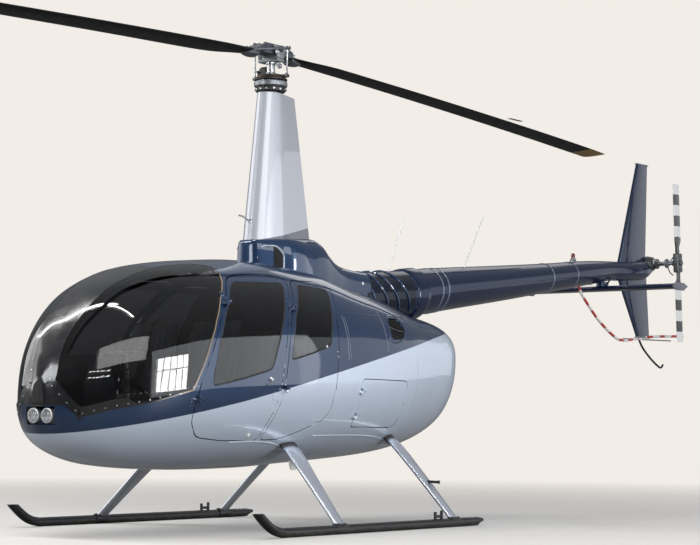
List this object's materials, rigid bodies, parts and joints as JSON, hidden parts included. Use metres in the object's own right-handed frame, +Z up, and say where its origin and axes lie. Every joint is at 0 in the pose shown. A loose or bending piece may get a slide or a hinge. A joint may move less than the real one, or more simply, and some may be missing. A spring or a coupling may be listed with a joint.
{
  "type": "light single-engine helicopter",
  "caption": "Light enclosed-cabin helicopter with a teetering main rotor, tail rotor, hinged cabin doors and skid landing gear.",
  "frame": {"origin": "on the ground, under the middle of the whole object's box", "axes": "+Z up, -Y towards the nose, +Y towards the tail, +X to the aircraft's left"},
  "size_m": [2.192, 11.3907, 3.4709],
  "materials": {
    "silver_blue_paint": "glossy metallic silver-blue",
    "dark_blue_paint": "glossy metallic dark blue",
    "black_paint": "satin black",
    "window_glass": "clear acrylic",
    "bare_steel": "machined",
    "engine_metal": "cast and grey painted",
    "white_paint": "gloss white",
    "seat_leather": "black grained leather",
    "cabin_plastic": "dark grey matt"
  },
  "bodies": {
    "airframe": {"lower_fuselage": "silver_blue_paint", "mast_fairing": "silver_blue_paint", "front_cross_tube": "silver_blue_paint", "rear_cross_tube": "silver_blue_paint", "cabin_frame": "dark_blue_paint", "cowl_forward": "dark_blue_paint", "cowl_aft": "dark_blue_paint", "mast_cowl": "dark_blue_paint", "boom_root_cowl": "dark_blue_paint", "tailboom": "dark_blue_paint", "upper_fin": "dark_blue_paint", "lower_fin": "dark_blue_paint", "stabilizer": "dark_blue_paint", "windshield_bow": "black_paint", "skid_left": "black_paint", "skid_right": "black_paint", "tail_skid": "black_paint", "windshield_left": "window_glass", "windshield_right": "window_glass", "swashplate": "bare_steel", "landing_light": "bare_steel", "cyclic_stick": "bare_steel", "engine_block": "engine_metal", "gearbox": "engine_metal", "tail_gearbox": "engine_metal", "exhaust_pipe": "engine_metal", "tail_guard": "white_paint", "front_seat_left": "seat_leather", "front_seat_right": "seat_leather", "rear_seat": "seat_leather", "front_seat_box": "cabin_plastic", "rear_seat_box": "cabin_plastic", "instrument_console": "cabin_plastic"},
    "main_mast": {"rotor_shaft": "bare_steel"},
    "main_rotor": {"rotor_hub": "bare_steel", "main_blade_forward": "black_paint", "main_blade_aft": "black_paint"},
    "tail_rotor": {"tail_rotor_hub": "bare_steel", "tail_blade_upper": "white_paint", "tail_blade_lower": "white_paint"},
    "left_front_door": {"front_door_left": "dark_blue_paint", "front_door_window_left": "window_glass"},
    "right_front_door": {"front_door_right": "dark_blue_paint", "front_door_window_right": "window_glass"},
    "left_rear_door": {"rear_door_left": "dark_blue_paint", "rear_door_window_left": "window_glass"},
    "right_rear_door": {"rear_door_right": "dark_blue_paint", "rear_door_window_right": "window_glass"},
    "baggage_lid": {"baggage_door": "silver_blue_paint"}
  },
  "joints": [
    {"name": "main_rotor_spin", "type": "hinge", "parent": "airframe", "child": "main_mast", "pos_m": [0, -0.67, 3.41], "axis": [0, 0, 1], "continuous": true},
    {"name": "main_rotor_teeter", "type": "hinge", "parent": "main_mast", "child": "main_rotor", "pos_m": [0, -0.67, 3.41], "axis": [0.9994, 0.0349, 0], "range_deg": [-5.96, 4.04]},
    {"name": "tail_rotor_spin", "type": "hinge", "parent": "airframe", "child": "tail_rotor", "pos_m": [0.314, 5.199, 2.274], "axis": [1, 0, 0], "continuous": true},
    {"name": "front_door_left_swing", "type": "hinge", "parent": "airframe", "child": "left_front_door", "pos_m": [0.66519, -2.214, 0.84415], "axis": [0.0536, -0.4434, -0.8947], "range_deg": [0, 70]},
    {"name": "front_door_right_swing", "type": "hinge", "parent": "airframe", "child": "right_front_door", "pos_m": [-0.66519, -2.214, 0.84415], "axis": [0.0536, 0.4434, 0.8947], "range_deg": [0, 70]},
    {"name": "rear_door_left_swing", "type": "hinge", "parent": "airframe", "child": "left_rear_door", "pos_m": [0.75307, -1.422, 0.92394], "axis": [0.1253, -0.3004, -0.9456], "range_deg": [0, 70]},
    {"name": "rear_door_right_swing", "type": "hinge", "parent": "airframe", "child": "right_rear_door", "pos_m": [-0.75307, -1.422, 0.92394], "axis": [0.1253, 0.3004, 0.9456], "range_deg": [0, 70]},
    {"name": "baggage_door_swing", "type": "hinge", "parent": "airframe", "child": "baggage_lid", "pos_m": [0.66617, -0.52, 0.75379], "axis": [-0.3106, 0, -0.9505], "range_deg": [0, 80]}
  ],
  "couplings": [
    {"joint": "tail_rotor_spin", "follows": "main_rotor_spin", "ratio": -5.95}
  ]
}
